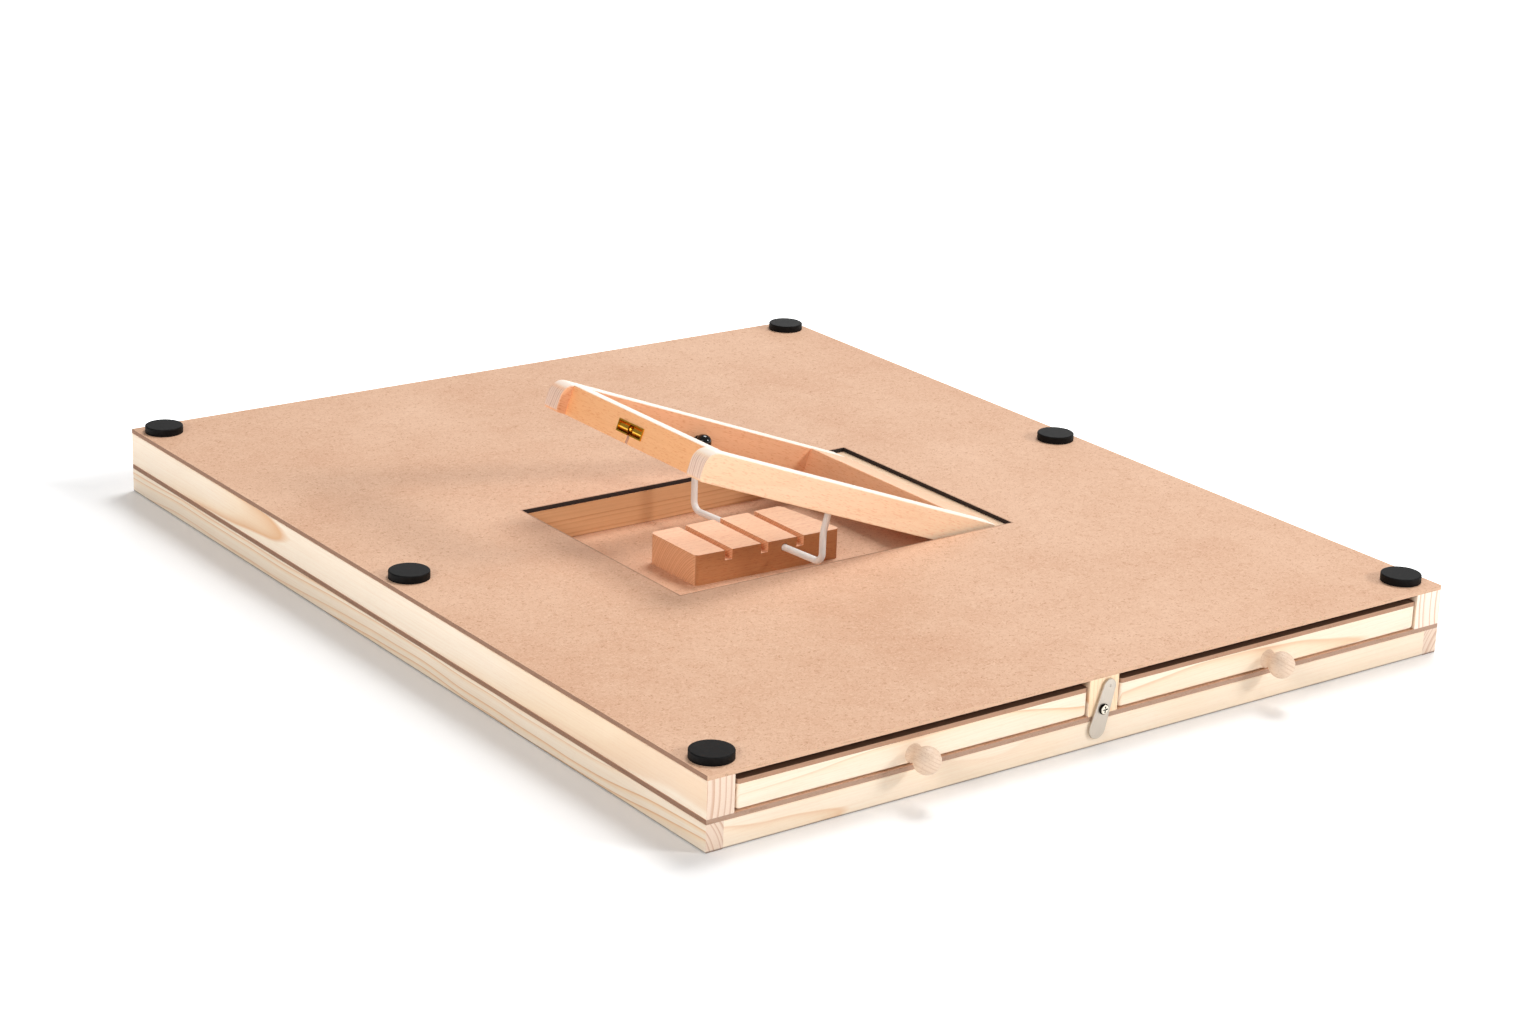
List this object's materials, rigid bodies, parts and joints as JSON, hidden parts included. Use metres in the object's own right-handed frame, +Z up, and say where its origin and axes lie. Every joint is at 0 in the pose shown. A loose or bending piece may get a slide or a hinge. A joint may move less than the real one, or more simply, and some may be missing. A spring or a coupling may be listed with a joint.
{
  "type": "jigsaw puzzle board with drawers and easel",
  "caption": "Flat wooden puzzle board lying face down: raised rim, drawers with ball knobs, turn latch, rubber feet, and a fold-out easel with a notched block and wire stay.",
  "frame": {"origin": "centre of the bounding box's footprint, on the plane that the rim rests on", "axes": "+X along the drawer edge towards the easel's hinge side, +Y away from the drawers, +Z up out of the panel that carries the feet"},
  "size_m": [0.584, 0.7412, 0.1354],
  "materials": {
    "fibreboard": "raw medium-density fibreboard sheet with darker sawn edges",
    "pine": "planed unfinished pine with long orange grain",
    "beech": "sanded unfinished beech",
    "knob_wood": "turned pale wood",
    "rubber": "matt black rubber",
    "steel": "brushed stainless steel",
    "brass": "polished brass plating",
    "white_rod": "white-coated steel rod",
    "black_plastic": "glossy black end cap"
  },
  "bodies": {
    "board": {"back_rail": "pine", "bottom_panel": "fibreboard", "catch_striker": "brass", "drawer_divider": "pine", "foot_back_left": "rubber", "foot_back_right": "rubber", "foot_front_left": "rubber", "foot_front_right": "rubber", "foot_middle_left": "rubber", "foot_middle_right": "rubber", "hinge_leaves_board": "steel", "hinge_pins": "steel", "hinge_screws_board": "steel", "hinge_strip": "beech", "latch_screw": "steel", "latch_washer": "steel", "notched_block": "beech", "rear_spacer": "pine", "recess_wall_back": "beech", "recess_wall_front": "beech", "recess_wall_left": "beech", "rim_rail_back": "pine", "rim_rail_front": "pine", "rim_rail_left": "pine", "rim_rail_right": "pine", "side_rail_left": "pine", "side_rail_right": "pine", "work_surface": "fibreboard"},
    "easel": {"easel_cross_rail": "beech", "easel_hinge_rail": "beech", "easel_rail_back": "beech", "easel_rail_front": "beech", "hinge_leaves_easel": "steel", "hinge_screws_easel": "steel", "catch_body": "brass", "catch_screw": "brass", "stay_pivot_studs": "steel"},
    "stay": {"stay_rod": "white_rod", "stay_cap_front": "black_plastic", "stay_cap_back": "black_plastic"},
    "left_drawer": {"drawer_left_back": "pine", "drawer_left_bottom": "fibreboard", "drawer_left_front": "pine", "drawer_left_knob": "knob_wood", "drawer_left_knob_screw": "steel", "drawer_left_side_left": "pine", "drawer_left_side_right": "pine"},
    "right_drawer": {"drawer_right_back": "pine", "drawer_right_bottom": "fibreboard", "drawer_right_front": "pine", "drawer_right_knob": "knob_wood", "drawer_right_knob_screw": "steel", "drawer_right_side_left": "pine", "drawer_right_side_right": "pine"},
    "latch": {"latch_plate": "steel"},
    "ball_front": {"catch_ball_front": "brass"},
    "ball_back": {"catch_ball_back": "brass"}
  },
  "joints": [
    {"name": "easel_hinge", "type": "hinge", "parent": "board", "child": "easel", "pos_m": [0.1134, -0.0151, 0.038], "axis": [0, 1, 0], "range_deg": [-21, 0]},
    {"name": "stay_fold", "type": "hinge", "parent": "board", "child": "stay", "pos_m": [-0.01865, -0.0155, 0.03475], "axis": [-0.0513, 0.9984, -0.0224], "range_deg": [0, 80]},
    {"name": "left_drawer_slide", "type": "slide", "parent": "board", "child": "left_drawer", "axis": [0, -1, 0], "range_m": [0, 0.18]},
    {"name": "right_drawer_slide", "type": "slide", "parent": "board", "child": "right_drawer", "axis": [0, -1, 0], "range_m": [0, 0.18]},
    {"name": "latch_turn", "type": "hinge", "parent": "board", "child": "latch", "pos_m": [-0.002, -0.3507, 0.0242], "axis": [0, -1, 0], "range_deg": [-73, 34]},
    {"name": "ball_front_spring", "type": "slide", "parent": "easel", "child": "ball_front", "axis": [0, -1, 0], "range_m": [0, 0.001], "stiffness_N_per_m": 900, "springref_m": -0.002},
    {"name": "ball_back_spring", "type": "slide", "parent": "easel", "child": "ball_back", "axis": [0, 1, 0], "range_m": [0, 0.001], "stiffness_N_per_m": 900, "springref_m": -0.002}
  ],
  "couplings": [
    {"joint": "stay_fold", "follows": "easel_hinge", "ratio": -3.8095}
  ]
}
